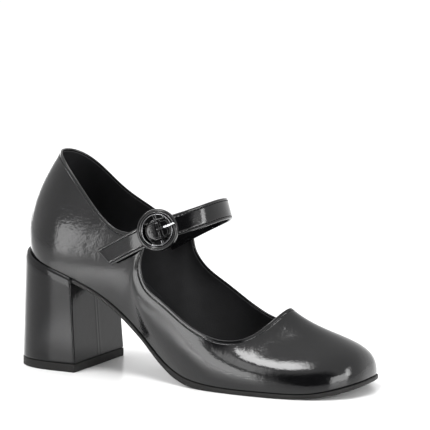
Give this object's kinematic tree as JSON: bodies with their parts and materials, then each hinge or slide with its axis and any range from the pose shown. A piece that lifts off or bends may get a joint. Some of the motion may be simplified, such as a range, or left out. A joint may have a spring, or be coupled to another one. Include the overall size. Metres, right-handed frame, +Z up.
{
  "type": "mary jane shoe",
  "caption": "Right women's mary jane with a lasted hollow upper, a round toe, a covered block heel and an instep strap fastened through a round covered buckle.",
  "frame": {"origin": "centre of the bounding box in plan, on the floor", "axes": "+X heel to toe, +Y to the inner (medial) side, +Z up"},
  "size_m": [0.2277, 0.081, 0.1312],
  "materials": {
    "patent": "high gloss black patent",
    "patent_buckle": "high gloss black patent over a metal core",
    "sock": "smooth black leather, satin",
    "lining": "smooth black leather, satin",
    "sole_rubber": "matt dark grey",
    "thread": "black sewing thread",
    "prong_metal": "polished"
  },
  "bodies": {
    "root": {"upper": "patent", "insole": "sock", "outsole": "sole_rubber", "heel": "patent", "heel_lift": "sole_rubber", "strap": "patent", "buckle": "patent_buckle", "buckle_tab": "patent", "buckle_prong": "prong_metal"}
  },
  "joints": []
}
